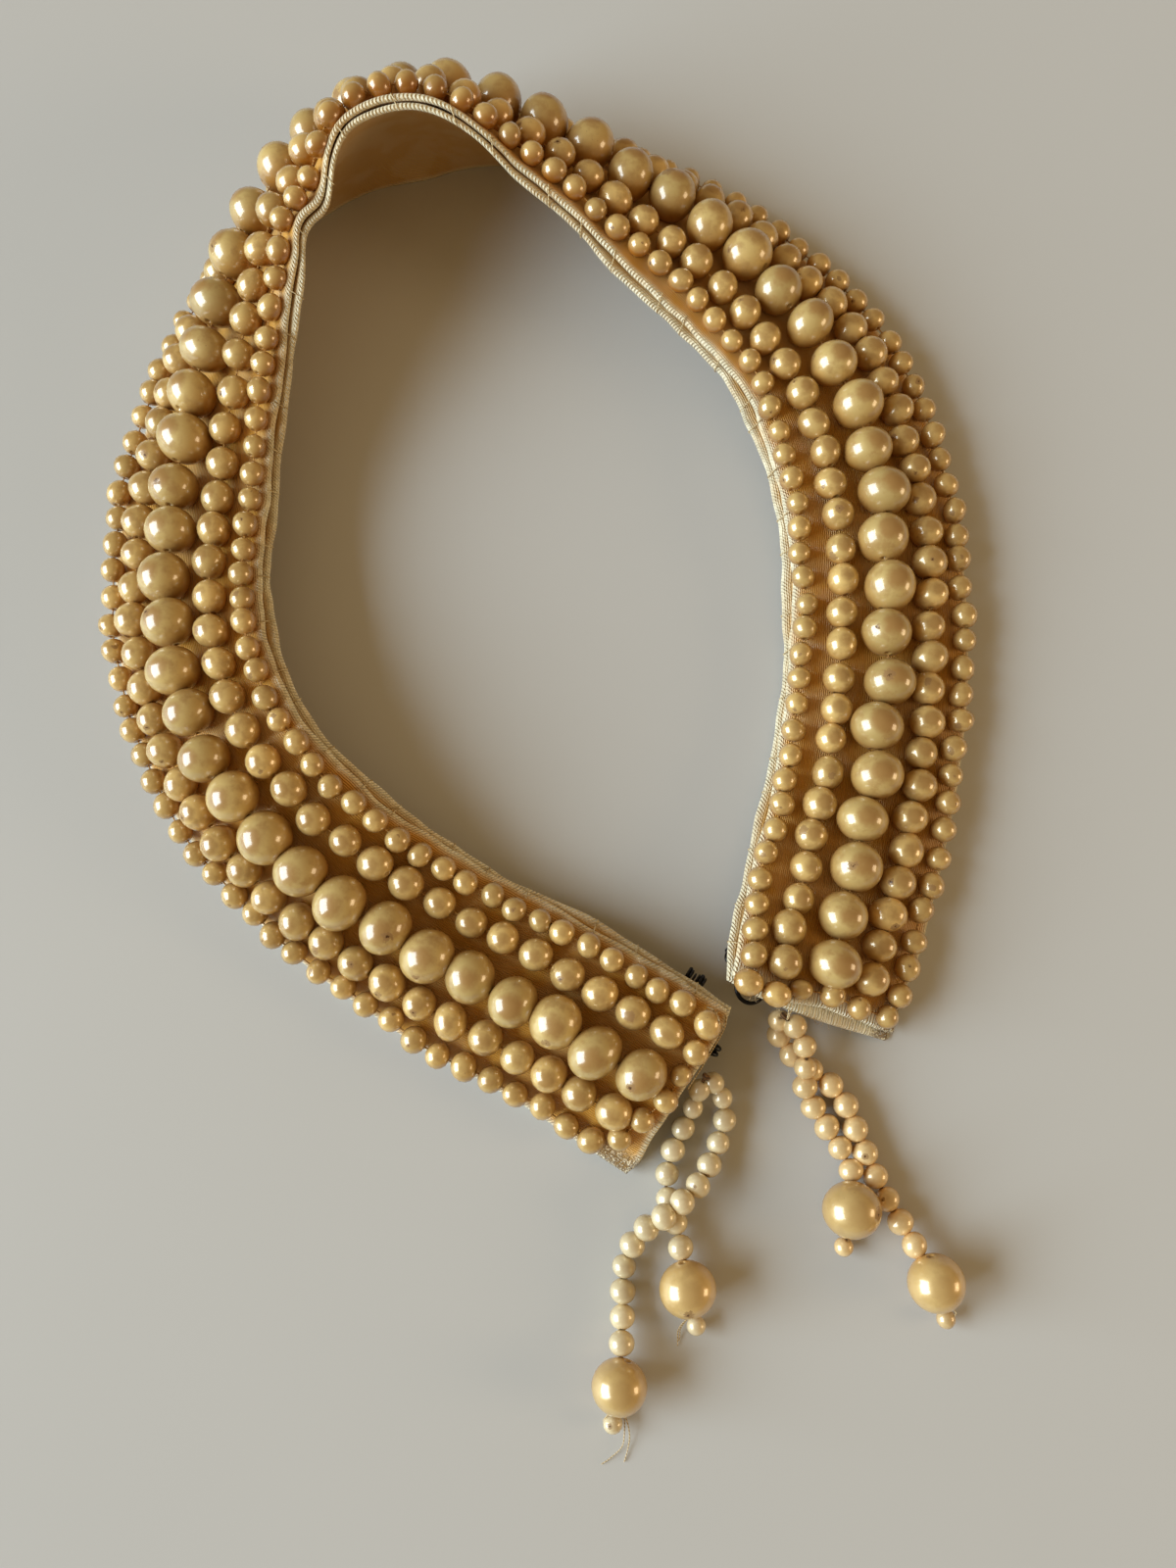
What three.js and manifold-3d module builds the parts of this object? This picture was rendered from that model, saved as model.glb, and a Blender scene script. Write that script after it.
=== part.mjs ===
// A beaded collar laid open on a table: a curved satin band with its lining, five rows of imitation
// pearls sewn along it, two hooks and two eyes, and four short bead strands that end in large pearls.
// Millimetres, +Z up. The collar stands on its long outer edge, and the neck edge leans up and in.
import * as THREE from "three";
import Module from "manifold-3d";
import { mergeVertices } from "three/addons/utils/BufferGeometryUtils.js";

const solids = await Module();
solids.setup();

// Driving dimensions of the band
const BAND_WIDTH = 30.8; // outer edge to neck edge
const LINING_THICK = 1.1;
const TOP_THICK = 1.2;
const SEAM_GAP = 0.3; // between the pieces of a seam
const FOLD = 0.5; // depth of the turned-in fold along each edge
const SETTLE = 0.7; // how far the outer edge is pressed flat where it rests
const REST_STRIP = 3.5; // breadth beside the outer edge that can lie flat on the table
const LINING_SHOWS = 1.9; // how far the lining sticks out past the top cloth at the right end
const BAND_STEPS = 58;

// Where the band stands, from the left end round the back to the right end. x and y give the line where
// its outer edge meets the table. lean is how far the band tips up from the table, in degrees, and bulge
// how far its middle swells outwards.
const SECTIONS = [
  { place: "left end", x: 6.8, y: -61.5, lean: 17, bulge: 1.4 },
  { place: "left front", x: -10.5, y: -51.2, lean: 12, bulge: 1.4 },
  { place: "left front", x: -32.5, y: -40, lean: 10, bulge: 0.6 },
  { place: "left front", x: -53, y: -24, lean: 20, bulge: 1 },
  { place: "left bend", x: -69, y: -3, lean: 26, bulge: 1.4 },
  { place: "left side", x: -78.5, y: 22, lean: 23, bulge: 0.8 },
  { place: "left side", x: -79.5, y: 49, lean: 20, bulge: 0.5 },
  { place: "left side", x: -72, y: 74.5, lean: 32, bulge: 0.6 },
  { place: "back bend", x: -60.5, y: 93.5, lean: 48, bulge: 1.2 },
  { place: "back bend", x: -46, y: 106, lean: 65, bulge: 2.2 },
  { place: "back bend", x: -30, y: 112.5, lean: 70, bulge: 3 },
  { place: "back", x: -11, y: 115, lean: 49, bulge: 2.6 },
  { place: "back", x: 10.5, y: 111, lean: 31, bulge: 1.7 },
  { place: "right shoulder", x: 33.5, y: 98.5, lean: 19, bulge: 1.8 },
  { place: "right shoulder", x: 53, y: 77.8, lean: 11, bulge: 1.4 },
  { place: "right bend", x: 62.2, y: 51.5, lean: 8, bulge: 1.2 },
  { place: "right side", x: 64, y: 25, lean: 4, bulge: 0.9 },
  { place: "right side", x: 61, y: 0, lean: 3, bulge: 0.6 },
  { place: "right front", x: 54.3, y: -24.5, lean: 8, bulge: 0.6 },
  { place: "right end", x: 47.9, y: -42.2, lean: 21, bulge: 1 },
];

// The large and medium pearl rows. at is the row's distance in from the outer edge, across and along are
// a pearl's sizes, pitch its spacing at the left end and at the right end, and ends the room left there
// for the small pearls that close the band.
const PEARL_ROWS = [
  { row: "centre", at: 15.6, across: 8.5, along: 7.2, pitch: [7.45, 7.85], ends: [7, 8.5], ball: "finer" },
  { row: "outer", at: 8.2, across: 5.35, along: 4.9, pitch: [5.75, 5.35], ends: [7.5, 8.4], ball: "plain" },
  { row: "neck", at: 22.9, across: 5.35, along: 4.8, pitch: [5.75, 5.3], ends: [6.9, 6.2], ball: "plain" },
];
const PEARL_SINK = 0.6; // how far a pearl sits down into the satin

// Bead strands, two from one knot at each end of the band. A route is the thread's way over the table,
// from the knot to its last bead, with the large pearl just before that one.
const BEAD = { across: 3.6, pitch: 3.6 };
const BEAD_SHOULDER = 0.24; // share of a bead's length that rounds off at each end
const SQUARED = 0.82; // half the side of a bead's square section, as a share of its radius
const DROP_PEARL = 8.6;
const STOP_BEAD = 3;
const DROP_TO_STOP = 6.6;
const KNOT = 2.4;
const THREAD = 0.8;
const STRANDS = [
  {
    name: "bead_strands_left",
    end: "left",
    sewnAt: 20, // in from the outer edge, at the end of the band
    routes: [
      [
        { x: 20, y: -48.4, z: 4 },
        { x: 21.3, y: -52, z: 2.3 },
        { x: 19.8, y: -57.4, z: 2.3 },
        { x: 16.6, y: -62.8, z: 4.4 },
        { x: 12.4, y: -66.2, z: 6.2 },
        { x: 8.4, y: -69.3, z: 4 },
        { x: 5.7, y: -73.8, z: 2.3 },
        { x: 5.2, y: -81.6, z: 2.3 },
        { x: 4.7, y: -90.3, z: 4.8 },
        { x: 3.7, y: -97, z: 2 },
      ],
      [
        { x: 15.7, y: -52.6, z: 2.6 },
        { x: 13, y: -58, z: 2.3 },
        { x: 12, y: -63.4, z: 2.3 },
        { x: 13.5, y: -69, z: 2.3 },
        { x: 14.8, y: -77, z: 4.8 },
        { x: 16.3, y: -83.3, z: 2 },
      ],
    ],
  },
  {
    name: "bead_strands_right",
    end: "right",
    sewnAt: 20.5,
    routes: [
      [
        { x: 32.6, y: -40, z: 6.2 },
        { x: 33.5, y: -43.6, z: 6.2 },
        { x: 33.4, y: -47.2, z: 3.6 },
        { x: 34.8, y: -51, z: 2.3 },
        { x: 38.2, y: -56.2, z: 2.3 },
        { x: 40.4, y: -60.8, z: 2.8 },
        { x: 39.8, y: -66.4, z: 4.8 },
        { x: 39, y: -72, z: 2 },
      ],
      [
        { x: 29.6, y: -38.6, z: 4.4 },
        { x: 30.2, y: -41.2, z: 2.3 },
        { x: 33, y: -44.6, z: 2.3 },
        { x: 36.6, y: -46.9, z: 2.3 },
        { x: 39.8, y: -50.6, z: 2.3 },
        { x: 42, y: -56.4, z: 2.3 },
        { x: 45, y: -63.4, z: 2.3 },
        { x: 48.4, y: -69.6, z: 2.6 },
        { x: 51.8, y: -76, z: 4.8 },
        { x: 54, y: -82.3, z: 2 },
      ],
    ],
  },
];

// The fastening, bent from black wire and sewn under the lining. middle is where a piece sits along its
// edge: from the left end on the neck edge, and in from the outer edge on an end. past is how far it
// reaches over that edge, back how far inside it the sewing rings lie, and half is half the distance
// between its two long wires.
const WIRE = 0.8;
const WIRE_SIDES = 4;
const WIRE_GAP = 0.45; // from the lining to a wire sewn under it
const SEWING_RING = 1.2;
const HOOK_BEND = 1.7; // depth of the hook's turned-back bill
const HOOK_BILL = 3.2;
const HOOKS = [
  { name: "hook_neck_edge", edge: "neck", middle: 7.2, past: 1.5, back: 2.4, half: 1.1 },
  { name: "hook_end_edge", edge: "left end", middle: 23.4, past: 1.8, back: 3.2, half: 0.7 },
];
const EYES = [
  { name: "eye_corner", edge: "right end", middle: 26.1, past: 1.6, back: 4, half: 2.3 },
  { name: "eye_under", edge: "right end", middle: 11, past: -1.5, back: 6.5, half: 2.2 },
];

const satin = new THREE.MeshStandardMaterial({ color: 0xe6cf9c, roughness: 0.45, metalness: 0 });
const liningSatin = new THREE.MeshStandardMaterial({ color: 0xdcc592, roughness: 0.5, metalness: 0 });
const pearl = new THREE.MeshStandardMaterial({ color: 0xe2bf83, roughness: 0.3, metalness: 0.15 });
const wire = new THREE.MeshStandardMaterial({ color: 0x151314, roughness: 0.4, metalness: 0.6 });

const lerp = THREE.MathUtils.lerp;

// Balls of few faces, one across, each standing on a corner and as large in all as a round one
const CORNER_DOWN = Math.atan(2 / (1 + Math.sqrt(5)));
const BALLS = {
  finer: new THREE.OctahedronGeometry(0.53, 1),
  plain: new THREE.IcosahedronGeometry(0.54, 0).rotateX(CORNER_DOWN),
};

const through = (points) => new THREE.CatmullRomCurve3(points, false, "catmullrom", 0.5);
const standLine = through(SECTIONS.map((s) => new THREE.Vector3(s.x, s.y, 0)));
const poseLine = through(SECTIONS.map((s) => new THREE.Vector3(s.lean, s.bulge, 0)));

// The band's own directions at t, which runs from 0 at the left end to 1 at the right end
function sectionAt(t) {
  const along = standLine.getTangent(t);
  const inward = new THREE.Vector3(along.y, -along.x, 0);
  const pose = poseLine.getPoint(t);
  const lean = THREE.MathUtils.degToRad(pose.x);
  const across = inward.clone().multiplyScalar(Math.cos(lean)).setZ(Math.sin(lean));
  const outward = inward.clone().multiplyScalar(-Math.sin(lean)).setZ(Math.cos(lean));
  return { foot: standLine.getPoint(t), along, across, outward, bulge: pose.y };
}

// A point of the band, by its distance in from the outer edge and its height off the lining's inside
function bandPoint(t, inFromEdge, up) {
  const s = sectionAt(t);
  const share = inFromEdge / BAND_WIDTH;
  const rise = up - SETTLE + s.bulge * 4 * share * (1 - share);
  return s.foot.addScaledVector(s.across, inFromEdge).addScaledVector(s.outward, rise);
}

// Turns a length along the band, at one distance in from its edge, into t.
function lengthAlong(inFromEdge, samples = 600) {
  const lengths = [0];
  let last = bandPoint(0, inFromEdge, 0);
  for (let i = 1; i <= samples; i++) {
    const next = bandPoint(i / samples, inFromEdge, 0);
    lengths.push(lengths[i - 1] + next.distanceTo(last));
    last = next;
  }
  const tAt = (length) => {
    const i = Math.max(1, lengths.findIndex((l) => l >= length));
    const part = (length - lengths[i - 1]) / (lengths[i] - lengths[i - 1]);
    return (i - 1 + part) / samples;
  };
  return { total: lengths[samples], tAt };
}

const bandRun = lengthAlong(BAND_WIDTH / 2);

// As bandPoint, by length from the left end, and on in a straight line past either end
function bandPlace(along, inFromEdge, up) {
  const kept = THREE.MathUtils.clamp(along, 0, bandRun.total);
  const t = bandRun.tAt(kept);
  return bandPoint(t, inFromEdge, up).addScaledVector(sectionAt(t).along, along - kept);
}

function closedGeometry(points, faces) {
  const geometry = new THREE.BufferGeometry();
  geometry.setAttribute("position", new THREE.Float32BufferAttribute(points.flatMap((p) => p.toArray()), 3));
  geometry.setIndex(faces.flat());
  return geometry;
}

function toSolid(geometry) {
  const bare = geometry.clone();
  bare.deleteAttribute("normal");
  bare.deleteAttribute("uv");
  const merged = mergeVertices(bare, 1e-4);
  return new solids.Manifold(
    new solids.Mesh({
      numProp: 3,
      vertProperties: merged.getAttribute("position").array,
      triVerts: new Uint32Array(merged.getIndex().array),
    }),
  );
}

function toGeometry(solid) {
  const mesh = solid.getMesh();
  const geometry = new THREE.BufferGeometry();
  geometry.setAttribute("position", new THREE.BufferAttribute(new Float32Array(mesh.vertProperties), 3));
  geometry.setIndex(new THREE.BufferAttribute(new Uint32Array(mesh.triVerts), 1));
  return geometry;
}

// One cloth wall of the band, from low to high off the lining's inside, with a turned-in fold on each edge.
// Where the cloth would press through the table, it lies flat on it.
function bandWall(low, high, endAt = 1) {
  const middle = (low + high) / 2;
  const foldHalf = (high - low) * 0.22;
  const ladder = [
    { at: 0, low: middle - foldHalf, high: middle + foldHalf },
    { at: FOLD, low, high },
    { at: REST_STRIP, low, high },
    { at: BAND_WIDTH * 0.3, low, high },
    { at: BAND_WIDTH / 2, low, high },
    { at: BAND_WIDTH * 0.7, low, high },
    { at: BAND_WIDTH - FOLD, low, high },
    { at: BAND_WIDTH, low: middle - foldHalf, high: middle + foldHalf },
  ];
  const points = [];
  for (let i = 0; i <= BAND_STEPS; i++) {
    for (const rung of ladder) {
      for (const up of [rung.low, rung.high]) {
        const p = bandPoint(Math.min(i / BAND_STEPS, endAt), rung.at, up);
        points.push(p.setZ(Math.max(p.z, 0)));
      }
    }
  }
  const rungs = ladder.length;
  const at = (i, rung, side) => (i * rungs + rung) * 2 + side;
  const quad = (a, b, c, d) => [[a, b, c], [a, c, d]];
  const faces = [];
  for (let i = 0; i < BAND_STEPS; i++) {
    for (let r = 0; r < rungs - 1; r++) {
      faces.push(...quad(at(i, r, 1), at(i, r + 1, 1), at(i + 1, r + 1, 1), at(i + 1, r, 1)));
      faces.push(...quad(at(i, r, 0), at(i + 1, r, 0), at(i + 1, r + 1, 0), at(i, r + 1, 0)));
    }
    faces.push(...quad(at(i, 0, 0), at(i, 0, 1), at(i + 1, 0, 1), at(i + 1, 0, 0)));
    const neck = rungs - 1;
    faces.push(...quad(at(i, neck, 0), at(i + 1, neck, 0), at(i + 1, neck, 1), at(i, neck, 1)));
  }
  for (let r = 0; r < rungs - 1; r++) {
    faces.push(...quad(at(0, r, 0), at(0, r + 1, 0), at(0, r + 1, 1), at(0, r, 1)));
    const end = BAND_STEPS;
    faces.push(...quad(at(end, r, 0), at(end, r, 1), at(end, r + 1, 1), at(end, r + 1, 0)));
  }
  return closedGeometry(points, faces);
}

// A pearl, turned so that its drilled axis follows the row
function pearlSolid(ball, across, along, centre, axis, up) {
  const side = new THREE.Vector3().crossVectors(up, axis).normalize();
  const place = new THREE.Matrix4().makeBasis(axis, side, new THREE.Vector3().crossVectors(axis, side));
  place.scale(new THREE.Vector3(along, across, across)).setPosition(centre);
  return toSolid(BALLS[ball].clone().applyMatrix4(place));
}

// The top cloth with its large and medium pearls raised on the outside
function beadedTop() {
  const low = LINING_THICK + SEAM_GAP;
  const high = low + TOP_THICK;
  const pieces = [toSolid(bandWall(low, high, 1 - LINING_SHOWS / bandRun.total))];
  for (const row of PEARL_ROWS) {
    const run = lengthAlong(row.at);
    const [first, last] = row.pitch;
    const from = row.ends[0];
    const to = run.total - row.ends[1];
    const count = Math.round((2 * (to - from)) / (first + last)) + 1;
    for (let i = 0; i < count; i++) {
      const w = i / (count - 1);
      const share = (2 * first * w + (last - first) * w * w) / (first + last);
      const t = run.tAt(lerp(from, to, share));
      const s = sectionAt(t);
      const centre = bandPoint(t, row.at, high + row.across / 2 - PEARL_SINK);
      pieces.push(pearlSolid(row.ball, row.across, row.along, centre, s.along, s.outward));
    }
  }
  return toGeometry(solids.Manifold.union(pieces));
}

// A strand's thread and beads: a square section that swells to a barrel at each bead, from the knot to
// the middle of the stop bead.
function threadSolid(thread, beadEnd) {
  const total = thread.getLength();
  const count = Math.floor((beadEnd - KNOT / 2) / BEAD.pitch);
  const pitch = (beadEnd - KNOT / 2) / count;
  const rings = [{ at: 0, across: THREAD }];
  for (let i = 0; i < count; i++) {
    const start = KNOT / 2 + i * pitch;
    rings.push({ at: start, across: THREAD });
    rings.push({ at: start + pitch * BEAD_SHOULDER, across: BEAD.across });
    rings.push({ at: start + pitch * (1 - BEAD_SHOULDER), across: BEAD.across });
  }
  rings.push({ at: beadEnd, across: THREAD });
  rings.push({ at: total, across: THREAD });
  const points = [];
  for (const ring of rings) {
    const middle = thread.getPointAt(Math.min(1, ring.at / total));
    const axis = thread.getTangentAt(Math.min(1, ring.at / total));
    const side = new THREE.Vector3(0, 0, 1).cross(axis).normalize();
    const top = new THREE.Vector3().crossVectors(axis, side);
    for (const [a, b] of [[1, 1], [-1, 1], [-1, -1], [1, -1]]) {
      const half = (ring.across / 2) * SQUARED;
      points.push(middle.clone().addScaledVector(side, a * half).addScaledVector(top, b * half));
    }
  }
  const faces = [[0, 2, 1], [0, 3, 2]];
  for (let i = 0; i < rings.length - 1; i++) {
    for (let k = 0; k < 4; k++) {
      const next = (k + 1) % 4;
      faces.push([4 * i + k, 4 * i + next, 4 * i + 4 + next], [4 * i + k, 4 * i + 4 + next, 4 * i + 4 + k]);
    }
  }
  const last = 4 * (rings.length - 1);
  faces.push([last, last + 1, last + 2], [last, last + 2, last + 3]);
  return toSolid(closedGeometry(points, faces));
}

// Two bead strands fused at the knot that sews them to one end of the band, each with its large pearl
function strandPair(strands) {
  const out = SEAM_GAP + KNOT * 0.55;
  const along = strands.end === "left" ? -out : bandRun.total + out;
  const knot = bandPlace(along, strands.sewnAt, LINING_THICK);
  const up = new THREE.Vector3(0, 0, 1);
  const pieces = [pearlSolid("plain", KNOT, KNOT, knot, new THREE.Vector3(1, 0, 0), up)];
  for (const route of strands.routes) {
    const thread = new THREE.CatmullRomCurve3([knot, ...route.map((p) => new THREE.Vector3(p.x, p.y, p.z))]);
    const total = thread.getLength();
    const dropAt = total - DROP_TO_STOP;
    pieces.push(threadSolid(thread, dropAt - DROP_PEARL * 0.48));
    const drop = thread.getPointAt(dropAt / total);
    const dropAxis = thread.getTangentAt(dropAt / total);
    pieces.push(pearlSolid("finer", DROP_PEARL, DROP_PEARL, drop, dropAxis, up));
    const stopAxis = thread.getTangentAt(1);
    pieces.push(pearlSolid("plain", STOP_BEAD, STOP_BEAD, thread.getPointAt(1), stopAxis, up));
  }
  return toGeometry(solids.Manifold.union(pieces));
}

// Where a wire piece's own point lies, past its edge, aside along it and deeper under the lining
function wirePlace(piece) {
  return (past, aside, deeper = 0) => {
    const up = -(WIRE_GAP + WIRE / 2) - deeper;
    if (piece.edge === "neck") return bandPlace(piece.middle + aside, BAND_WIDTH + past, up);
    const along = piece.edge === "left end" ? -past : bandRun.total + past;
    return bandPlace(along, piece.middle + aside, up);
  };
}

// An open sewing ring beside a long wire, from its free end to where the wire leaves it
function sewingRing(place, back, half, hand) {
  const points = [];
  for (let degrees = 270; degrees >= 0; degrees -= 45) {
    const a = THREE.MathUtils.degToRad(degrees);
    const aside = half + SEWING_RING * (1 - Math.cos(a));
    points.push(place(-back - SEWING_RING * Math.sin(a), hand * aside));
  }
  return points;
}

function bentWire(path, steps) {
  const corners = [];
  for (let k = 0; k < WIRE_SIDES; k++) {
    const a = (k * 2 * Math.PI) / WIRE_SIDES;
    corners.push(new THREE.Vector2(Math.cos(a), Math.sin(a)).multiplyScalar(WIRE / 2));
  }
  const route = new THREE.CatmullRomCurve3(path);
  const section = new THREE.Shape(corners);
  return new THREE.ExtrudeGeometry(section, { steps, extrudePath: route, bevelEnabled: false });
}

// A hook: two wires run out side by side, bend down and come back as the bill
function hookGeometry(hook) {
  const place = wirePlace(hook);
  const sideOf = (hand) => [
    ...sewingRing(place, hook.back, hook.half, hand),
    place(hook.past - 0.9, hand * hook.half),
    place(hook.past, hand * hook.half * 0.95, HOOK_BEND / 2),
    place(hook.past - 0.9, hand * hook.half * 0.9, HOOK_BEND),
    place(hook.past - HOOK_BILL, hand * hook.half * 0.8, HOOK_BEND),
  ];
  const tip = place(hook.past - HOOK_BILL - 0.8, 0, HOOK_BEND);
  return bentWire([...sideOf(-1), tip, ...sideOf(1).reverse()], 46);
}

// An eye: one wire runs out, round and back
function eyeGeometry(eye) {
  const place = wirePlace(eye);
  const arc = [];
  for (let degrees = -90; degrees <= 90; degrees += 30) {
    const a = THREE.MathUtils.degToRad(degrees);
    arc.push(place(eye.past - eye.half * (1 - Math.cos(a)), eye.half * Math.sin(a)));
  }
  const ringOn = (hand) => sewingRing(place, eye.back, eye.half, hand);
  return bentWire([...ringOn(-1), ...arc, ...ringOn(1).reverse()], 38);
}

const collar = new THREE.Group();
collar.name = "beaded_collar";

function addPiece(name, geometry, material) {
  const mesh = new THREE.Mesh(geometry, material.clone());
  mesh.name = name;
  collar.add(mesh);
}

addPiece("band_lining", bandWall(0, LINING_THICK), liningSatin);
addPiece("band_top", beadedTop(), satin);
for (const strands of STRANDS) addPiece(strands.name, strandPair(strands), pearl);
for (const hook of HOOKS) addPiece(hook.name, hookGeometry(hook), wire);
for (const eye of EYES) addPiece(eye.name, eyeGeometry(eye), wire);

// The origin is under the middle of the collar, on the table.
const extent = new THREE.Box3().setFromObject(collar);
const centre = extent.getCenter(new THREE.Vector3());
collar.position.set(-centre.x, -centre.y, -extent.min.z);

export default collar;
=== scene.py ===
import math
import bpy
import numpy as np
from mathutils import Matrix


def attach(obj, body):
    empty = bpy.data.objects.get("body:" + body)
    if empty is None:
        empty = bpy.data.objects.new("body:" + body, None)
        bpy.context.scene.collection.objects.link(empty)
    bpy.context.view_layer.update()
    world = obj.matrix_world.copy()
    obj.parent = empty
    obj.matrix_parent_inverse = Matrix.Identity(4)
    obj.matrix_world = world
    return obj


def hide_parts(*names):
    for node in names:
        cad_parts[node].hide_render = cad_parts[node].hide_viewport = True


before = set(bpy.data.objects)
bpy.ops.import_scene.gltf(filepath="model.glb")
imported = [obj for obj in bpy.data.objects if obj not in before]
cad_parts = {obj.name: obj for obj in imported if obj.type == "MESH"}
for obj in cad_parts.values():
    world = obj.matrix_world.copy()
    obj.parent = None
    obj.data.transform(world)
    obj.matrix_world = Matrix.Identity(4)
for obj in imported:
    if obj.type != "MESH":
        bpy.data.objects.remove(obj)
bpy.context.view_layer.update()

# A beaded collar laid open on a pale table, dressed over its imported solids: satin sheets with turned-in
# edges, pearls strung in rows, bead strands, wire hooks and eyes. Lengths below are in millimetres.
MM = 0.001
OFFSET = np.array([8.238, -10.376, 0.0])  # puts the middle of the collar over the origin
UP = np.array([0.0, 0.0, 1.0])
dice = np.random.default_rng(1907)

# The band
BAND_WIDTH = 30.8
LINING_THICK = 1.1
TOP_THICK = 1.2
SEAM_GAP = 0.3
SETTLE = 0.7
LINING_SHOWS = 1.9
TOP_MIDDLE = LINING_THICK + SEAM_GAP + TOP_THICK / 2
TOP_OUTSIDE = LINING_THICK + SEAM_GAP + TOP_THICK

# Where the band stands, from the left end round the back to the right end: the line of its outer edge on
# the table, its lean in degrees, and how far its middle swells outwards.
SECTIONS = np.array([
    # x, y, lean, bulge
    (6.8, -61.5, 17, 1.4),
    (-10.5, -51.2, 12, 1.4),
    (-32.5, -40, 10, 0.6),
    (-53, -24, 20, 1),
    (-69, -3, 26, 1.4),
    (-78.5, 22, 23, 0.8),
    (-79.5, 49, 20, 0.5),
    (-72, 74.5, 32, 0.6),
    (-60.5, 93.5, 48, 1.2),
    (-46, 106, 65, 2.2),
    (-30, 112.5, 70, 3),
    (-11, 115, 49, 2.6),
    (10.5, 111, 31, 1.7),
    (33.5, 98.5, 19, 1.8),
    (53, 77.8, 11, 1.4),
    (62.2, 51.5, 8, 1.2),
    (64, 25, 4, 0.9),
    (61, 0, 3, 0.6),
    (54.3, -24.5, 8, 0.6),
    (47.9, -42.2, 21, 1),
], dtype=float)

# Rows of pearls: at is the distance in from the outer edge, pitch the spacing at the left end and at the
# right end, ends the room left there, sink how far a pearl sits down into the satin, and stagger how far the
# pearls step aside by turns.
ROW_KEYS = ("row", "at", "across", "along", "pitch", "ends", "sink", "stagger", "drift")
PEARL_ROWS = [dict(zip(ROW_KEYS, values)) for values in (
    ("large", 15.6, 8.4, 7.75, (7.45, 7.85), (7, 8.5), 0.6, 0.3, "front"),
    ("medium", 8.1, 5.75, 5.6, (5.75, 5.35), (7.5, 8.4), 0.6, 0.1, "front"),
    ("medium", 22.9, 5.4, 5.45, (5.75, 5.3), (6.9, 6.2), 0.6, 0.1, "front"),
    ("small", 2.5, 4.25, 4.2, (4.5, 4.55), (8.2, 7.6), 0.45, 0, "outer"),
    ("small", 27.7, 4, 3.95, (4.2, 4.25), (7, 5.6), 0.45, 0, "neck"),
)]
# How far a row drifts inwards, by length along the centre line
DRIFTS = {
    "front": [(0, 0.6), (12, 0), (386, 0), (403, 1.5)],
    "outer": [(0, 0.6), (12, 0), (36, 0), (48, 0.9), (70, 0.9), (84, 0.1), (386, -0.2), (403, 1.3)],
    "neck": [(0, 0.3), (31, 0), (62, 0.2), (76, 0.9), (98, 0.8), (141, 0.9), (196, 0.6), (236, -0.1),
             (281, -0.1), (301, 1.2), (396, 1.3), (407, 1)],
}
# Small pearls across each end: distance in from the outer edge, distance from the end, size across and
# along their thread.
LEFT_END_ROW = [(5.3, 4.6, 4, 3.9), (9.9, 3.2, 4.1, 3.8), (14.5, 1.8, 4.2, 4), (19, 1.7, 3.5, 3.4),
                (23.2, 1.7, 4, 3.9), (27.6, 2.3, 4.2, 4.7)]
RIGHT_END_ROW = [(4.4, 4.1, 3.9, 3.8), (9.8, 3.7, 4, 3.8), (14.9, 4, 4.1, 4), (20.1, 3, 3.3, 3.8),
                 (24.3, 0.9, 4.1, 4), (29, 1, 4.3, 4.2)]

# How far the cloth's ends bow outwards, by distance in from the outer edge
LEFT_REACH = [(0, -0.7), (3, 0), (7, -0.3), (11, -0.1), (16, -0.1), (24, 0.3), (28, 0.3), (30.8, -0.1)]
TOP_RIGHT_REACH = [(0, -0.2), (3, 0.2), (7, 0), (10, 0.3), (14, 0.2), (17, 0.7), (20, 1.3), (26, 1.5),
                   (30.8, 0.6)]
LINING_RIGHT_REACH = [(0, -0.5), (3, -0.3), (7, 0), (11, 0.3), (15, 0.5), (20, 0.5), (26, 0.3), (30.8, -0.4)]
END_REACH = 9  # how far from an end its bow fades out

# How far the sheets' outer edge tucks in under the small pearls, by length along the centre line
TUCK = [(0, 0), (14, 0.2), (34, 1), (48, 1.7), (70, 1.7), (90, 1), (160, 0.8), (172, 0.8), (180, 1.7),
        (187, 0.5), (195, 1.6), (203, 0.5), (212, 1.5), (222, 0.5), (250, 0.6), (400, 0.5), (409, 0)]
TUCK_REACH = 5  # in from the outer edge
NECK_REACH = 7  # in from the neck edge, where the straying of its fold begins

# Soft creases of the band: along the centre line, in from the outer edge, how far each reaches
# both ways, and its height, below zero for a trough.
CREASES = [
    # along, inside, reach along, reach across, height
    (14, 29.5, 5, 2.6, 0.35),
    (31, 30, 7, 2.2, -0.3),
    (52, 29.6, 9, 2.6, 0.4),
    (71, 30, 5, 2, -0.3),
    (88, 29.5, 7, 2.4, 0.35),
    (108, 30, 6, 2, -0.35),
    (131, 29.6, 9, 2.4, 0.3),
    (153, 30, 7, 2.2, -0.3),
    (171, 29, 5, 3, 0.4),
    (232, 29.6, 6, 2.4, -0.3),
    (247, 29.8, 5, 2.2, 0.35),
    (268, 30, 8, 2.2, -0.25),
    (285, 29.5, 5, 2.4, 0.3),
    (311, 30, 9, 2, -0.3),
    (338, 29.6, 6, 2.4, 0.3),
    (366, 30, 7, 2.2, -0.3),
    (389, 29.5, 6, 2.4, 0.3),
    (5, 3, 6, 3, 0.3),
    (181, 1, 5, 3, -0.8),
    (197, 1, 6, 3, 0.4),
    (212, 1, 5, 3, -0.7),
    (38, 1, 8, 2, -0.25),
    (97, 1, 9, 2, 0.25),
    (149, 1, 7, 2, -0.25),
    (219, 1, 9, 2, 0.3),
    (301, 1, 8, 2, -0.25),
    (352, 1, 9, 2, 0.25),
]

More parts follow.
